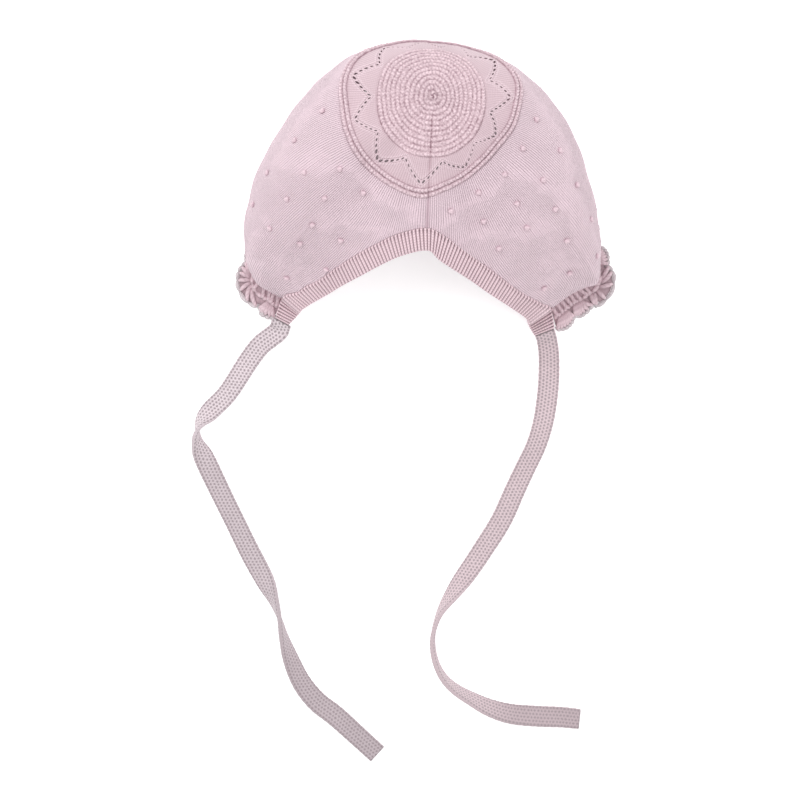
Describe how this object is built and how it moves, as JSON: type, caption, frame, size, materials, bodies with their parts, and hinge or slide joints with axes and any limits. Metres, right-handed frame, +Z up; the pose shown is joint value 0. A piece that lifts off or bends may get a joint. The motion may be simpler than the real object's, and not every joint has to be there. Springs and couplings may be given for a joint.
{
  "type": "baby bonnet",
  "caption": "Pale pink knitted baby bonnet with a round lace crown, ribbed neck band, crocheted face trim and flat knitted ties, lying crown up.",
  "frame": {"origin": "middle of the cap's box without the ties, on the surface that it lies on", "axes": "+X from the left ear corner to the right one across the widest part, +Y from the ties towards the forehead, +Z up through the crown medallion"},
  "size_m": [0.2151, 0.3626, 0.0844],
  "materials": {
    "disc_yarn": "matt",
    "lace_yarn": "matt",
    "ridge_yarn": "matt",
    "panel_yarn": "matt",
    "band_yarn": "matt",
    "trim_yarn": "matt",
    "tie_yarn": "matt"
  },
  "bodies": {
    "root": {"crown_disc": "disc_yarn", "lace_ring": "lace_yarn", "ridge_ring": "ridge_yarn", "side_panel": "panel_yarn", "neck_band": "band_yarn", "face_trim": "trim_yarn", "tie_left": "tie_yarn", "tie_right": "tie_yarn"}
  },
  "joints": []
}
